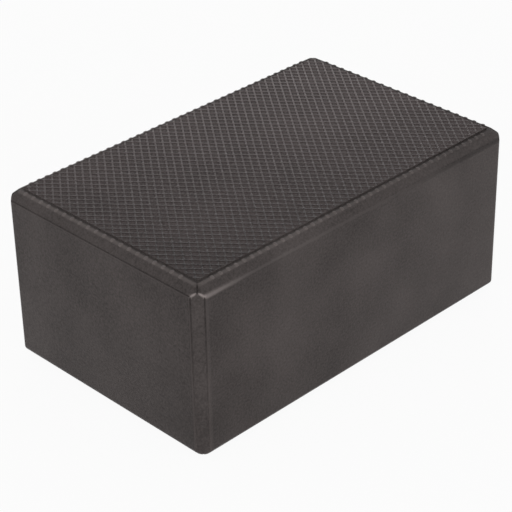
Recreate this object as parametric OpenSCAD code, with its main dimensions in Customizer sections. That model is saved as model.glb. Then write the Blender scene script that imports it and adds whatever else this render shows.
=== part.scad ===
// Foam yoga block: one moulded brick with bevelled edges and a grip pattern of
// small diamonds on its upper face. The block lies flat on its widest side, with
// the origin in the middle of that side, the length along X and the width along Y.

/* [Block] */
// Length of the block
block_length = 228.6; // [190:0.1:260]
// Width of the block
block_width = 144; // [110:0.5:170]
// Height of the block, to the tops of the ridges
block_height = 100.7; // [50:0.1:130]
// Size of the bevel along each edge, measured on the side
bevel = 5.7; // [4:0.1:10]

/* [Grip pattern] */
// Size of one diamond along the block's length
diamond_x = 5.13; // [5:0.01:9]
// Size of one diamond along the block's width
diamond_y = 6.27; // [6:0.01:10]
// Depth of the dimple in the middle of a diamond
dimple_depth = 0.4; // [0.2:0.1:2]
// Turn of the pattern against the block's edges, in degrees
pattern_turn = 1.55; // [-4:0.05:4]
// Distance from the block's sides to the patterned field
field_margin = 7.6; // [7:0.1:20]

/* [Rim] */
// Drop from the ridges to the plain rim around the field
rim_drop = 0.8; // [0.3:0.1:2]
// Width of the groove between the field and the rim
groove_width = 1.5; // [0.4:0.1:2]
// Depth of the groove below the rim
groove_depth = 0.2; // [0.1:0.1:1.5]
// Width of one bead on the rim
bead_width = 2.8; // [1.5:0.1:4]
// Length of a bead's tail, measured across the side
bead_tail = 1.3; // [0.6:0.1:2]
// How far a bead stands out of the rim
bead_rise = 0.3; // [0.1:0.05:0.6]

/* [Hidden] */

// The patterned field, and the grid of ridge crossings and dimples that covers it
field_length = block_length - 2 * field_margin;
field_width = block_width - 2 * field_margin;
half_x = diamond_x / 2;
half_y = diamond_y / 2;
spare_steps = 3;
steps_x = ceil(field_length / 2 / half_x) + spare_steps;
steps_y = ceil(field_width / 2 / half_y) + spare_steps;
points_per_row = 2 * steps_y + 1;
slab_depth = 2 * bevel;
field_depth = 1.5 * bevel;

// The rim: its level, and the line where it turns into the bevel
rim_level = block_height - rim_drop;
rim_inset = bevel - rim_drop;
edge_x = block_length / 2 - rim_inset;
edge_y = block_width / 2 - rim_inset;

// How many falling ridges are crossed in 1 mm along the length and along the width
ridges_along_x = cos(pattern_turn) / diamond_x - sin(pattern_turn) / diamond_y;
ridges_along_y = sin(pattern_turn) / diamond_x + cos(pattern_turn) / diamond_y;

// A bead: how deep it is rooted in the rim, how far its top lies inside the rim's edge,
// and how wide and how high its tail is
bead_root = 0.4;
bead_setback = 0.15;
tail_width = bead_width / 2;
tail_rise = bead_rise / 2;
bead_sides = 6;

// A bar along Z with bevelled long edges
module bevelled_bar(size_x, size_y, length) {
    x = size_x / 2;
    y = size_y / 2;
    linear_extrude(length, center = true)
        polygon([
            [x, y - bevel], [x - bevel, y], [bevel - x, y], [-x, y - bevel],
            [-x, bevel - y], [bevel - x, -y], [x - bevel, -y], [x, bevel - y]
        ]);
}

// The brick with a bevel on each of its twelve edges
module bevelled_brick() {
    translate([0, 0, block_height / 2])
        intersection() {
            bevelled_bar(block_length, block_width, block_height);
            rotate([90, 0, 0]) bevelled_bar(block_length, block_height, block_width);
            rotate([0, 90, 0]) bevelled_bar(block_height, block_width, block_length);
        }
}

// A point of the pattern: ridges cross at the even points and dimples lie at the odd ones
function pattern_point(i, j, top) =
    [i * half_x, j * half_y, !top ? -slab_depth : (i + j) % 2 != 0 ? -dimple_depth : 0];

// Number of a point in the polyhedron's list
function point_index(i, j, layer) =
    (layer * (2 * steps_x + 1) + i + steps_x) * points_per_row + j + steps_y;

// Two triangles over one grid square, folded along the ridge that crosses it
function square_faces(i, j) =
    let (
        a = point_index(i, j, 0),
        b = point_index(i + 1, j, 0),
        c = point_index(i + 1, j + 1, 0),
        d = point_index(i, j + 1, 0)
    )
    (i + j) % 2 == 0 ? [[a, c, b], [a, d, c]] : [[a, d, b], [b, d, c]];

// A wide slab whose upper side is the pattern of ridges and dimples
module pattern_slab() {
    cols = [-steps_x : steps_x - 1];
    rows = [-steps_y : steps_y - 1];
    points = [
        for (layer = [0, 1], i = [-steps_x : steps_x], j = [-steps_y : steps_y])
            pattern_point(i, j, layer == 0)
    ];
    top = [for (i = cols, j = rows) each square_faces(i, j)];
    floor_outline = concat(
        [for (i = cols) point_index(i, -steps_y, 1)],
        [for (j = rows) point_index(steps_x, j, 1)],
        [for (i = cols) point_index(-i, steps_y, 1)],
        [for (j = rows) point_index(-steps_x, -j, 1)]
    );
    walls = concat(
        [for (i = cols) each wall_faces(i, -steps_y, i + 1, -steps_y)],
        [for (j = rows) each wall_faces(steps_x, j, steps_x, j + 1)],
        [for (i = cols) each wall_faces(i + 1, steps_y, i, steps_y)],
        [for (j = rows) each wall_faces(-steps_x, j + 1, -steps_x, j)]
    );
    polyhedron(points, concat(top, walls, [floor_outline]));
}

// The slab's side under one step of its edge
function wall_faces(i0, j0, i1, j1) =
    [[
        point_index(i0, j0, 0), point_index(i1, j1, 0),
        point_index(i1, j1, 1), point_index(i0, j0, 1)
    ]];

// The patterned field, cut square to the block
module grip_field() {
    translate([0, 0, block_height])
        intersection() {
            rotate(pattern_turn) pattern_slab();
            cube([field_length, field_width, 2 * field_depth], center = true);
        }
}

// The seat that the field stands in: the groove around it, and the room for its dimples
module field_seat() {
    translate([0, 0, rim_level - groove_depth])
        linear_extrude(block_height)
            square(
                [field_length + 2 * groove_width, field_width + 2 * groove_width],
                center = true
            );
    translate([0, 0, block_height - bevel])
        linear_extrude(block_height)
            square([field_length - groove_width, field_width - groove_width], center = true);
}

// One bead on the rim of the side that faces -Y: a faceted stud with its top just inside
// the rim's edge and a lower tail down the bevel
module bead() {
    hull() {
        translate([0, bead_setback, -bead_root])
            cylinder(h = bead_root + bead_rise, d1 = bead_width, d2 = 0, $fn = bead_sides);
        translate([0, -bead_tail, -bead_tail - bead_root])
            cylinder(h = bead_root + tail_rise, d1 = tail_width, d2 = 0, $fn = bead_sides);
    }
}

// The beads of one long side; side is 1 at +Y and -1 at -Y
module long_side_beads(side) {
    first = ceil((side * edge_y * ridges_along_y) - (edge_x - bevel) * ridges_along_x);
    last = floor((side * edge_y * ridges_along_y) + (edge_x - bevel) * ridges_along_x);
    for (n = [first : last])
        translate([(n - side * edge_y * ridges_along_y) / ridges_along_x, side * edge_y, rim_level])
            rotate(side > 0 ? 180 : 0) bead();
}

// The beads of one short side; side is 1 at +X and -1 at -X
module short_side_beads(side) {
    first = ceil((side * edge_x * ridges_along_x) - (edge_y - bevel) * ridges_along_y);
    last = floor((side * edge_x * ridges_along_x) + (edge_y - bevel) * ridges_along_y);
    for (n = [first : last])
        translate([side * edge_x, (n - side * edge_x * ridges_along_x) / ridges_along_y, rim_level])
            rotate(side * 90) bead();
}

// The whole block
module block() {
    color([0.28, 0.27, 0.27]) {
        difference() {
            intersection() {
                bevelled_brick();
                cube([2 * block_length, 2 * block_width, 2 * rim_level], center = true);
            }
            field_seat();
        }
        grip_field();
        for (side = [-1, 1]) {
            long_side_beads(side);
            short_side_beads(side);
        }
    }
}

block();
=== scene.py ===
import math
from functools import reduce
from itertools import product

import bpy
from mathutils import Matrix, Vector


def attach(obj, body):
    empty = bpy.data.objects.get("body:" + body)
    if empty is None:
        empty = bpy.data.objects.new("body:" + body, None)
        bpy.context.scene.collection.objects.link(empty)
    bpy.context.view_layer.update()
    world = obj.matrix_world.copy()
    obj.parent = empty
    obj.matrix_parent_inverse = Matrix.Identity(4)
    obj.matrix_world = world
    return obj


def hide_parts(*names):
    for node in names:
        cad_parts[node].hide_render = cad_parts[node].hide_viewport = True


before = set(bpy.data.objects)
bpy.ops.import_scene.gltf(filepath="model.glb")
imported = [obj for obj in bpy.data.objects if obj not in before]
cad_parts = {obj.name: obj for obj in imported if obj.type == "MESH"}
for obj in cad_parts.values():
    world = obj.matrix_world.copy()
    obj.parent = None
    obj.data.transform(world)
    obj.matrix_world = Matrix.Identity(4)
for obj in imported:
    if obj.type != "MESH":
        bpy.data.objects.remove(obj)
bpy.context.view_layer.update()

# ---- The bevelled block --------------------------------------------------------------
# The body is one piece of closed-cell EVA foam, moulded to a brick that stands on
# its large face. All twelve edges are bevelled in the mould, and their corners are
# worn a little round. The top stops short where the grip pattern is pressed in.
MM = 0.001
block_length = 228.6 * MM
block_width = 144.0 * MM
block_height = 100.7 * MM
bevel = 5.7 * MM
rim_drop = 0.8 * MM
rim_level = block_height - rim_drop
corner_wear = 1.0 * MM
edge_round = 1.2 * MM
round_segments = 4
cut_tolerance = 0.0001 * MM
weld_distance = 0.001 * MM


def leave_edit():
    """Go back to object mode with nothing selected."""
    if bpy.context.object and bpy.context.object.mode != "OBJECT":
        bpy.ops.object.mode_set(mode="OBJECT")
    bpy.ops.object.select_all(action="DESELECT")


def take_up(piece):
    """Make one piece the only one selected."""
    leave_edit()
    bpy.context.view_layer.objects.active = piece
    piece.select_set(True)


def edit(piece):
    """Open a piece in edit mode with none of its points selected."""
    take_up(piece)
    bpy.ops.object.mode_set(mode="EDIT")
    bpy.ops.mesh.select_mode(type="VERT")
    bpy.ops.mesh.select_all(action="DESELECT")


def settle(piece):
    """Put a piece's place, turn and size into its mesh."""
    take_up(piece)
    bpy.ops.object.transform_apply(location=True, rotation=True, scale=True)


def slab(name, size, place):
    """A plain rectangular solid of the given size around a place."""
    leave_edit()
    bpy.ops.mesh.primitive_cube_add(size=1, location=place)
    piece = bpy.context.object
    piece.name = name
    piece.scale = size
    settle(piece)
    return piece


def slice_off(place, facing):
    """Cut away all that lies beyond a plane and close the cut."""
    bpy.ops.mesh.select_all(action="SELECT")
    bpy.ops.mesh.bisect(
        plane_co=place, plane_no=facing, use_fill=True, clear_outer=True,
        threshold=cut_tolerance,
    )


block = slab("foam_block", (block_length, block_width, block_height), (0, 0, block_height / 2))
half_size = Vector((block_length, block_width, block_height)) / 2
middle = Vector((0, 0, block_height / 2))
corners = [Vector(signs) for signs in product((-1, 1), repeat=3)]


def mitre(outward):
    """The end of a corner's mitre, where two level bevels meet, and the way it faces."""
    end = middle + (half_size - Vector((bevel, bevel, 0))) * outward
    facing = Vector((outward.x, outward.y, 2 * outward.z)).normalized()
    return end, facing


edit(block)
for along_edge in range(3):
    one, other = [axis for axis in range(3) if axis != along_edge]
    for one_side, other_side in product((-1, 1), repeat=2):
        facing = Vector((0, 0, 0))
        facing[one] = one_side
        facing[other] = other_side
        bevel_middle = middle.copy()
        bevel_middle[one] += one_side * (half_size[one] - bevel / 2)
        bevel_middle[other] += other_side * (half_size[other] - bevel / 2)
        slice_off(bevel_middle, facing)
for outward in corners:
    mitre_end, facing = mitre(outward)
    slice_off(mitre_end - facing * corner_wear, facing)
slice_off((0, 0, rim_level), (0, 0, 1))
bpy.ops.mesh.select_all(action="SELECT")
bpy.ops.mesh.remove_doubles(threshold=weld_distance)
bpy.ops.mesh.bevel(
    offset=edge_round, offset_type="OFFSET", segments=round_segments, affect="EDGES"
)
bpy.ops.mesh.select_all(action="SELECT")
bpy.ops.mesh.normals_make_consistent(inside=False)

# ---- The pressed seams ---------------------------------------------------------------
# The mould has pressed fine hollow lines into the foam: one round each end face, one
# down each long face beside its standing bevels, and at each corner a short one along
# the mitre where the bevels of the top or the base meet.
seam_radius = 0.45 * MM
seam_sides = 8
seam_sink = 0.05 * MM
seam_offset = 0.4 * MM


def combine(piece, other, operation):
    """Join, cut or trim a piece with another solid, which is used up."""
    joint = piece.modifiers.new(other.name, "BOOLEAN")
    joint.operation = operation
    joint.solver = "MANIFOLD"
    joint.object = other
    take_up(piece)
    bpy.ops.object.modifier_apply(modifier=joint.name)
    bpy.data.objects.remove(other)


def seam_rod(start, end):
    """A thin rod from one point to another, just past both."""
    way = end - start
    leave_edit()
    bpy.ops.mesh.primitive_cylinder_add(
        vertices=seam_sides,
        radius=seam_radius,
        depth=way.length + seam_radius / 2,
        location=(start + end) / 2,
        rotation=way.to_track_quat("Z", "Y").to_euler(),
    )
    rod = bpy.context.object
    rod.name = "seam"
    settle(rod)
    return rod


seam_lines = []
for face, beside in ((0, 1), (0, 2), (1, 0)):
    along_edge = 3 - face - beside
    for face_side, beside_side in product((-1, 1), repeat=2):
        start = middle.copy()
        start[face] += face_side * (half_size[face] - seam_sink - seam_offset)
        start[beside] += beside_side * (half_size[beside] - bevel + seam_offset)
        end = start.copy()
        start[along_edge] -= half_size[along_edge] - bevel
        end[along_edge] += half_size[along_edge] - bevel
        seam_lines.append((start, end))
for outward in corners:
    mitre_end, facing = mitre(outward)
    meeting = middle + (half_size - Vector((bevel, bevel, bevel)) / 2) * outward
    seam_lines.append((meeting - facing * corner_wear, mitre_end - facing * corner_wear))
seams = seam_rod(*seam_lines[0])
for start, end in seam_lines[1:]:
    combine(seams, seam_rod(start, end), "UNION")
combine(block, seams, "DIFFERENCE")

# ---- The grip field ------------------------------------------------------------------
# A lattice of fine ridges covers the top inside a shallow surrounding groove. It is
# pressed into the foam a degree or two askew, so its diamonds are cut off at the
# border. Each diamond's floor lies low beside the ridges and rises in the middle.
field_margin = 7.6 * MM
groove_width = 1.5 * MM
groove_depth = 0.15 * MM
field_length = block_length - 2 * field_margin
field_width = block_width - 2 * field_margin
groove_floor = rim_level - groove_depth
seat_height = 10 * MM
diamond_x = 5.13 * MM
diamond_y = 6.27 * MM
pattern_turn = math.radians(1.55)
diamonds_in_row = 66
# from a diamond's outline inwards: how far out each ring of points lies, and how deep
ring_place = [1.0, 0.86, 0.68, 0.35]
ring_depth = [0.0, 0.03, 0.22, 0.17]
ring_tolerance = 0.02
ridge_sag = 0.03 * MM
ridge_middle = 0.5
square_diagonal = math.sqrt(8)
outline_slack = 0.01 * MM
skirt = 3 * MM
skirt_overlap = 1 * MM
border_height = 20 * MM


def select_points(piece, wanted):
    """Select the points of an open piece that pass a test of their place."""
    bpy.ops.mesh.select_all(action="DESELECT")
    bpy.ops.object.mode_set(mode="OBJECT")
    for point in piece.data.vertices:
        point.select = wanted(point.co)
    bpy.ops.object.mode_set(mode="EDIT")


seat = slab(
    "seat",
    (field_length + 2 * groove_width, field_width + 2 * groove_width, seat_height),
    (0, 0, groove_floor + seat_height / 2),
)
combine(block, seat, "DIFFERENCE")

# one diamond, drawn as a square whose rings of points are pushed outwards and down
leave_edit()
ring_count = len(ring_place) - 1
grid_steps = 2 * ring_count + 1
bpy.ops.mesh.primitive_grid_add(x_subdivisions=grid_steps, y_subdivisions=grid_steps, size=2)
pattern = bpy.context.object
pattern.name = "pattern"
edit(pattern)
for ring in range(1, ring_count + 1):
    reach = 1 - 2 * ring / grid_steps
    widen = ring_place[ring] / reach
    select_points(pattern, lambda p: abs(max(abs(p.x), abs(p.y)) - reach) < ring_tolerance)
    bpy.ops.transform.resize(value=(widen, widen, 1), center_override=(0, 0, 0))
    bpy.ops.transform.translate(value=(0, 0, -ring_depth[ring] * MM))
select_points(
    pattern, lambda p: p.z > -outline_slack and min(abs(p.x), abs(p.y)) < ridge_middle
)
bpy.ops.transform.translate(value=(0, 0, -ridge_sag))
bpy.ops.mesh.select_all(action="SELECT")
bpy.ops.transform.rotate(value=math.pi / 4, orient_axis="Z", center_override=(0, 0, 0))
bpy.ops.transform.resize(
    value=(diamond_x / square_diagonal, diamond_y / square_diagonal, 1),
    center_override=(0, 0, 0),
)

# the diamond is repeated both ways, turned askew, closed below and cut to the field
take_up(pattern)
for name, step in (
    ("falling", (diamond_x / 2, -diamond_y / 2, 0)),
    ("rising", (diamond_x / 2, diamond_y / 2, 0)),
):
    row = pattern.modifiers.new(name, "ARRAY")
    row.fit_type = "FIXED_COUNT"
    row.count = diamonds_in_row
    row.use_relative_offset = False
    row.use_constant_offset = True
    row.constant_offset_displace = step
    row.use_merge_vertices = True
    row.merge_threshold = outline_slack
    bpy.ops.object.modifier_apply(modifier=name)
pattern.location = (diamond_x / 2 * (2 - diamonds_in_row), 0, block_height)
settle(pattern)
pattern.rotation_euler = (0, 0, pattern_turn)
settle(pattern)
edit(pattern)
bpy.ops.mesh.select_mode(type="EDGE")
bpy.ops.mesh.select_non_manifold(
    extend=False, use_wire=False, use_boundary=True, use_multi_face=False,
    use_non_contiguous=False, use_verts=False,
)
bpy.ops.mesh.extrude_region_move(TRANSFORM_OT_translate={"value": (0, 0, -skirt)})
bpy.ops.transform.resize(
    value=(1, 1, 0), center_override=(0, 0, groove_floor - skirt_overlap)
)
bpy.ops.mesh.edge_face_add()
bpy.ops.mesh.select_all(action="SELECT")
bpy.ops.mesh.normals_make_consistent(inside=False)
border = slab("border", (field_length, field_width, border_height), (0, 0, block_height))
combine(pattern, border, "INTERSECT")
combine(block, pattern, "UNION")

# ---- The bead row --------------------------------------------------------------------
# The lattice's ridges die out over the rim of the block in a row of low, soft beads,
# one for each ridge that runs down to the right. They are part of the same moulding.
bead_length = 2.8 * MM
bead_width = 2.8 * MM
bead_thickness = 1.2 * MM
bead_segments = 10
bead_rings = 6
bead_sink = 0.42 * MM
bead_offset = 0.3 * MM
bead_tilt = math.radians(16)
crease_angle = math.radians(35)
rim_inset = bevel - rim_drop
edge_x = block_length / 2 - rim_inset
edge_y = block_width / 2 - rim_inset
ridges_along_x = math.cos(pattern_turn) / diamond_x - math.sin(pattern_turn) / diamond_y
ridges_along_y = math.sin(pattern_turn) / diamond_x + math.cos(pattern_turn) / diamond_y


def ridge_ends(reach, shift, ridges_along):
    """Where ridges run out over a side of the rim, within a reach of its middle."""
    first = math.ceil(shift - reach * ridges_along)
    last = math.floor(shift + reach * ridges_along)
    return [(ridge - shift) / ridges_along for ridge in range(first, last + 1)]


leave_edit()
bpy.ops.mesh.primitive_uv_sphere_add(segments=bead_segments, ring_count=bead_rings, radius=0.5)
bead = bpy.context.object
bead.scale = (bead_width, bead_length, bead_thickness)
settle(bead)
bead_places = []
for side in (-1, 1):
    turn = 0 if side < 0 else math.pi
    for x in ridge_ends(edge_x - bevel, side * edge_y * ridges_along_y, ridges_along_x):
        bead_places.append((x, side * edge_y, turn))
    for y in ridge_ends(edge_y - bevel, side * edge_x * ridges_along_x, ridges_along_y):
        bead_places.append((side * edge_x, y, side * math.pi / 2))
beads = []
for x, y, turn in bead_places:
    copy = bead.copy()
    copy.data = bead.data.copy()
    bpy.context.collection.objects.link(copy)
    copy.matrix_world = (
        Matrix.Translation((x, y, rim_level))
        @ Matrix.Rotation(turn, 4, "Z")
        @ Matrix.Rotation(bead_tilt, 4, "X")
        @ Matrix.Translation((0, bead_offset, -bead_sink))
    )
    beads.append(copy)
bpy.data.objects.remove(bead)
leave_edit()
for copy in beads:
    copy.select_set(True)
bpy.context.view_layer.objects.active = beads[0]
bpy.ops.object.join()
bead_row = bpy.context.object
bead_row.name = "bead_row"
settle(bead_row)
combine(block, bead_row, "UNION")
take_up(block)
bpy.ops.object.shade_smooth_by_angle(angle=crease_angle)


# ---- The foam's skin -----------------------------------------------------------------
# The foam is dyed through in a warm charcoal. Its skin is dull and finely speckled by its cells,
# and cloudy where it cooled unevenly.
# Light and shade are painted into its colour as well: painted highlights on the ridges, beads,
# rim, edges and near top corner, painted shade in the pits, groove, creases and seams.
class Wire:
    """One output of a shader node, with the arithmetic that the foam needs."""

    tree = None

    def __init__(self, socket):
        self.socket = socket

    @classmethod
    def node(cls, kind, settings, values, output=0):
        """Add a node, set it up, fill or link its sockets and take one output."""
        node = cls.tree.nodes.new(kind)
        for name, setting in settings.items():
            setattr(node, name, setting)
        for slot, value in values.items():
            if isinstance(value, Wire):
                value.into(node.inputs[slot])
            else:
                node.inputs[slot].default_value = value
        return cls(node.outputs[output])

    def into(self, slot):
        """Lead this output into a socket."""
        Wire.tree.links.new(self.socket, slot)

    def math(self, operation, other=0.0, swap=False):
        """One Math node on this value and another, in either order."""
        pair = (other, self) if swap else (self, other)
        return Wire.node("ShaderNodeMath", {"operation": operation}, dict(enumerate(pair)))

    def __add__(self, other):
        return self.math("ADD", other)

    __radd__ = __add__

    def __mul__(self, other):
        return self.math("MULTIPLY", other)

    __rmul__ = __mul__

    def __sub__(self, other):
        return self.math("SUBTRACT", other)

    def __rsub__(self, other):
        return self.math("SUBTRACT", other, swap=True)

    def __abs__(self):
        return self.math("ABSOLUTE")

    def least(self, other):
        return self.math("MINIMUM", other)

    def most(self, other):
        return self.math("MAXIMUM", other)

    def rise(self, low, high):
        """0 up to low, 1 from high on, smooth between."""
        return Wire.node(
            "ShaderNodeMapRange",
            {"interpolation_type": "SMOOTHSTEP"},
            {"Value": self, "From Min": low, "From Max": high},
        )

    def fall(self, low, high):
        """1 up to low, 0 from high on, smooth between."""
        return 1.0 - self.rise(low, high)


gloss_level = 0.08
cloud_size = 38 * MM
pebble_size = 3.5 * MM
cell_size = 1.2 * MM
grain_size = 0.9 * MM
foam = bpy.data.materials.new("charcoal_foam")
foam.use_nodes = True
Wire.tree = foam.node_tree
skin = foam.node_tree.nodes["Principled BSDF"]
skin.inputs["Specular IOR Level"].default_value = gloss_level
spot = Wire.node("ShaderNodeTexCoord", {}, {}, output="Object")
along, across, height = (
    Wire.node("ShaderNodeSeparateXYZ", {}, {0: spot}, output=axis) for axis in "XYZ"
)


def clouds(size, detail, rough=0.5):
    """Noise around 0 whose patches are about size across."""
    noise = Wire.node(
        "ShaderNodeTexNoise",
        {},
        {"Vector": spot, "Scale": 1 / size, "Detail": detail, "Roughness": rough},
    )
    return noise - 0.5


# the parts of the top: the grip field and its crests, the groove, the beads and the rim
field_fade = (-0.05 * MM, 0.0)
crest_fade = (block_height - 0.25 * MM, block_height - 0.06 * MM)
groove_fade = (groove_width - 0.5 * MM, groove_width + 0.3 * MM)
groove_level_fade = (rim_level - 1 * MM, rim_level - 0.5 * MM)
bead_fade = (0.0, 0.2 * MM)
rim_fade = (0.1 * MM, 1.2 * MM)
past_end = abs(along) - field_length / 2
past_side = abs(across) - field_width / 2
in_field = past_end.fall(*field_fade) * past_side.fall(*field_fade)
on_crest = height.rise(*crest_fade) * in_field
in_groove = (
    past_end.fall(*groove_fade)
    * past_side.fall(*groove_fade)
    * height.rise(*groove_level_fade)
    * (1.0 - in_field)
)
off_field = (1.0 - in_field) * (1.0 - in_groove)
over_rim = height - rim_level
over_side_bevel = abs(across) + height - (block_width / 2 + block_height - bevel)
over_end_bevel = abs(along) + height - (block_length / 2 + block_height - bevel)
no_bead = (
    over_rim.fall(*bead_fade) * over_side_bevel.fall(*bead_fade) * over_end_bevel.fall(*bead_fade)
)
on_bead = (1.0 - no_bead) * off_field
on_rim = (rim_level - height).fall(*rim_fade) * off_field
plain_skin = off_field * (1.0 - on_bead)

# how deep a point lies behind the faces and the bevels, and so how near to an edge
bevel_fade = (0.3 * MM, 0.8 * MM)
edge_fade = (0.2 * MM, 0.9 * MM)
highlight_edge_fade = (0.4 * MM, 1.5 * MM)
long_crease_fade = (0.4 * MM, 1.6 * MM)
standing_crease_fade = (0.3 * MM, 1.5 * MM)
seam_fade = (0.2 * MM, 0.35 * MM)
lip_fade = (0.05 * MM, 0.3 * MM)
lip_place = 0.9 * MM
lip_spread = (0.3 * MM, 0.9 * MM)
behind_end = block_length / 2 - abs(along)
behind_side = block_width / 2 - abs(across)
behind_top = block_height / 2 - abs(height - block_height / 2)
behind_rim = rim_level / 2 - abs(height - rim_level / 2)
behind_standing = behind_end + behind_side - bevel
behind_end_bevel = behind_end + behind_top - bevel
behind_side_bevel = behind_side + behind_top - bevel
bevels = [behind_standing, behind_end_bevel, behind_side_bevel]
edges = [
    (behind_end, behind_standing),
    (behind_side, behind_standing),
    (behind_end, behind_end_bevel),
    (behind_rim, behind_end_bevel),
    (behind_side, behind_side_bevel),
    (behind_rim, behind_side_bevel),
    (behind_standing, behind_end_bevel),
    (behind_standing, behind_side_bevel),
    (behind_end_bevel, behind_side_bevel),
]
from_edge = reduce(Wire.least, [one.most(other) for one, other in edges])
depth = reduce(Wire.least, [behind_end, behind_side, behind_rim] + bevels)
on_bevel = reduce(Wire.least, bevels).fall(*bevel_fade) * plain_skin
on_edge = from_edge.fall(*edge_fade) * plain_skin
highlight_edge = from_edge.fall(*highlight_edge_fade) * plain_skin
from_long_crease = behind_side.most(behind_side_bevel)
long_crease = from_long_crease.fall(*long_crease_fade) * plain_skin
from_standing_crease = behind_end.least(behind_side).most(behind_standing)
standing_crease = from_standing_crease.fall(*standing_crease_fade) * plain_skin
in_seam = depth.rise(*seam_fade) * plain_skin
lip = behind_side.fall(*lip_fade) * abs(behind_standing - lip_place).fall(*lip_spread)

# where on the block a point lies: at a corner, at the near top corner that gets a painted
# highlight, or toward the far end
corner_tip = 1.5 * bevel
corner_fade = (corner_tip + 1 * MM, corner_tip + 4.5 * MM)
highlit_corner_fade = (-1.0, -0.82)
highlit_corner_level_fade = (block_height - 10 * MM, block_height - 7 * MM)
far_fade = (-10 * MM, 95 * MM)
toward_back = along * (1 / block_length) + across * (1 / block_width)
at_back = toward_back.rise(-1.0, 1.0)
at_corner = (behind_end + behind_side + behind_top).fall(*corner_fade)
highlit_corner = toward_back.fall(*highlit_corner_fade) * height.rise(*highlit_corner_level_fade)
far_end = along.rise(*far_fade)

# how strong the foam's own clouds and speckle are, and how much painted light or painted shade
# each place gets over the dye; along is per metre
side_clouds = 0.9
field_clouds = 0.5
cell_speckle = 1.15
painted_light_along = 0.35
crest_painted_shade = 0.50
crest_painted_sheen_back = 1.15
pit_painted_shade = 0.01
pit_painted_shade_back = 0.47
groove_painted_shade_along = 1.5
groove_painted_shade_far = 0.15
bead_painted_highlight = 0.55
rim_painted_highlight = 0.41
rim_painted_shade_along = 2.4
rim_painted_shade_far = 0.25
edge_painted_highlight = 0.26
bevel_painted_light = 0.1
bevel_painted_shade_far = 0.15
corner_painted_highlight = 0.3
near_corner_painted_highlight = 4.2
long_crease_painted_highlight = 1.6
long_crease_painted_shade = 0.5
standing_crease_painted_shade = 0.16
lip_painted_highlight = 0.2
seam_painted_light = 0.6
seam_painted_shade_up = 0.8
mottle = clouds(cloud_size, detail=3)
speckle = clouds(cell_size, detail=2, rough=0.6)
in_pit = in_field - on_crest
level = height * (1 / block_height)
# the dye's own clouds and speckle, plus painted highlights and painted shade
tone_and_painted_light = (
    1.0
    # painted light: the block grows brighter toward its far end
    + along * painted_light_along
    + mottle * (side_clouds - in_field * (side_clouds - field_clouds))
    + speckle * (1.0 - on_edge) * cell_speckle
    # painted shade on the ridge crests at the front, painted sheen on them toward the back
    + on_crest * (at_back * crest_painted_sheen_back - crest_painted_shade)
    # painted shade in the pits, growing toward the back
    - in_pit * (at_back * pit_painted_shade_back + pit_painted_shade)
    # painted shade in the groove, deepening toward the far end and slightly lighter at the near
    # end
    - in_groove * (along * groove_painted_shade_along + far_end * groove_painted_shade_far)
    # painted highlight on the beads
    + on_bead * bead_painted_highlight
    # painted highlight on the rim, fading into painted shade toward the far end
    + on_rim * (rim_painted_highlight - along * rim_painted_shade_along - far_end * rim_painted_shade_far)
    # painted highlight along the edges
    + on_edge * edge_painted_highlight
    # painted light on the bevels, with painted shade toward the far end
    + on_bevel * (bevel_painted_light - far_end * bevel_painted_shade_far)
    # painted highlight on the corner edges, strongest at the near top corner
    + highlight_edge * at_corner * (highlit_corner * near_corner_painted_highlight + corner_painted_highlight)
    # painted highlight along the long top crease near the near corner, painted shade on it toward
    # the far end
    + long_crease * highlit_corner * long_crease_painted_highlight
    - long_crease * far_end * long_crease_painted_shade
    # painted shade along the standing creases, stronger toward the top
    - standing_crease * level * standing_crease_painted_shade
    # painted highlight on the lip beside the standing seams
    + lip * lip_painted_highlight
    # painted shade in the seams toward the top, painted light in them lower down
    - in_seam * (level * seam_painted_shade_up - seam_painted_light)
)
side_dye = (0.0720, 0.0620, 0.0599, 1)
field_dye = (0.0768, 0.0610, 0.0598, 1)
dye = Wire.node(
    "ShaderNodeMix", {"data_type": "RGBA"}, {0: in_field, 6: side_dye, 7: field_dye}, output=2
)
colour = Wire.node("ShaderNodeVectorMath", {"operation": "SCALE"}, {0: dye, "Scale": tone_and_painted_light})
colour.into(skin.inputs["Base Color"])

# the foam is dull, duller in the pits, and has a faint sheen on the crests and edges
foam_dullness = 0.5
pit_dullness = 0.2
crest_sheen = 0.14
edge_sheen = 0.36
dullness = foam_dullness - on_crest * crest_sheen + in_pit * pit_dullness - on_edge * edge_sheen
dullness.into(skin.inputs["Roughness"])

# its cells and shallow pebbles make a fine relief, which the edges have mostly lost
pebble_share = 1.2
edge_polish = 0.85
relief_strength = 0.35
relief_height = 0.4 * MM
cells = clouds(grain_size, detail=3, rough=0.6)
pebbles = clouds(pebble_size, detail=2)
grain = (cells + pebbles * pebble_share) * (1.0 - on_edge * edge_polish)
relief = Wire.node(
    "ShaderNodeBump",
    {},
    {"Strength": relief_strength, "Distance": relief_height, "Height": grain},
)
relief.into(skin.inputs["Normal"])
block.data.materials.clear()
block.data.materials.append(foam)
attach(block, "root")
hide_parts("block")

# ---- The floor and the white backdrop ------------------------------------------------
# The block stands on a plain pale board that runs on out of sight, in front of plain
# white. Both look white from any side, and the board still takes the block's shadow.
board_size = 6
board_gap = 0.02 * MM
board_grey = 0.85
board_roughness = 0.9
glow_share = 0.94
room_light = 0.44
white = (1, 1, 1, 1)
leave_edit()
bpy.ops.mesh.primitive_plane_add(size=board_size, location=(0, 0, -board_gap))
floor = bpy.context.object
floor.name = "floor"
pale = bpy.data.materials.new("pale_floor")
pale.use_nodes = True
Wire.tree = pale.node_tree
board = pale.node_tree.nodes["Principled BSDF"]
board.inputs["Base Color"].default_value = (board_grey, board_grey, board_grey, 1)
board.inputs["Roughness"].default_value = board_roughness


def looked_at():
    """1 where the camera looks, straight on or by a reflection or through glass, else 0."""
    straight, mirrored, through = (
        Wire.node("ShaderNodeLightPath", {}, {}, output=f"Is {way} Ray")
        for way in ("Camera", "Glossy", "Transmission")
    )
    return (straight + mirrored + through).least(1.0)


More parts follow.
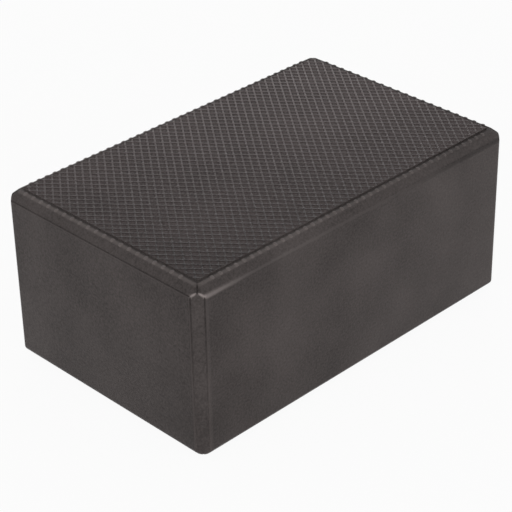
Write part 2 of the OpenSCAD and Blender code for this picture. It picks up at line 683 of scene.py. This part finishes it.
glow = Wire.node("ShaderNodeEmission", {}, {"Color": white, "Strength": 1.0})
matt = Wire(board.outputs[0])
surface = Wire.node("ShaderNodeMixShader", {}, {0: looked_at() * glow_share, 1: matt, 2: glow})
surface.into(pale.node_tree.nodes["Material Output"].inputs["Surface"])
floor.data.materials.append(pale)
world = bpy.data.worlds.new("studio")
bpy.context.scene.world = world
world.use_nodes = True
Wire.tree = world.node_tree
backdrop = world.node_tree.nodes["Background"]
backdrop.inputs["Color"].default_value = white
(looked_at() * (1 - room_light) + room_light).into(backdrop.inputs["Strength"])

# ---- The lamps -----------------------------------------------------------------------
# Three broad soft lamps stand low round the block: one far behind it that shows up the
# ridges, and one off each near side that lights the long face or the end.
lit_point = Vector((0, 0, 0.05))


def soft_lamp(name, place, size, power):
    """A flat lamp that faces the block."""
    lamp = bpy.data.lights.new(name, "AREA")
    lamp.shape = "RECTANGLE"
    lamp.size, lamp.size_y = size
    lamp.energy = power
    holder = bpy.data.objects.new(name, lamp)
    holder.location = place
    holder.rotation_euler = (lit_point - Vector(place)).to_track_quat("-Z", "Y").to_euler()
    bpy.context.collection.objects.link(holder)


soft_lamp("back_lamp", place=(1.25, 1.3, 0.5), size=(0.9, 0.6), power=4)
soft_lamp("front_lamp", place=(0.1, -1.42, 0.42), size=(1.4, 0.4), power=6)
soft_lamp("left_lamp", place=(-1.45, -0.25, 0.45), size=(0.5, 0.4), power=5)

# ---- The camera ----------------------------------------------------------------------
# A long lens looks down on the block from in front of its near corner, turned a
# degree from level, with the block a little off the middle of its view.
azimuth = math.radians(-44.334)
elevation = math.radians(31.090)
roll = math.radians(-1.134)
distance = 978.4 * MM
aside = -3.56 * MM
lift = -8.76 * MM
focal_length = 128.22
sensor_width = 36
sight_limit = 20
backward = Vector((
    math.sin(azimuth) * math.cos(elevation),
    -math.cos(azimuth) * math.cos(elevation),
    math.sin(elevation),
))
level_right = (-backward).cross(Vector((0, 0, 1))).normalized()
level_up = level_right.cross(-backward)
right = level_right * math.cos(roll) + level_up * math.sin(roll)
up = level_up * math.cos(roll) - level_right * math.sin(roll)
lens = bpy.data.cameras.new("camera")
lens.lens = focal_length
lens.sensor_width = sensor_width
lens.clip_end = sight_limit
camera = bpy.data.objects.new("camera", lens)
bpy.context.collection.objects.link(camera)
camera.matrix_world = Matrix((right, up, backward)).transposed().to_4x4()
camera.location = middle + backward * distance + right * aside + up * lift
bpy.context.scene.camera = camera
bpy.context.scene.view_settings.view_transform = "Standard"
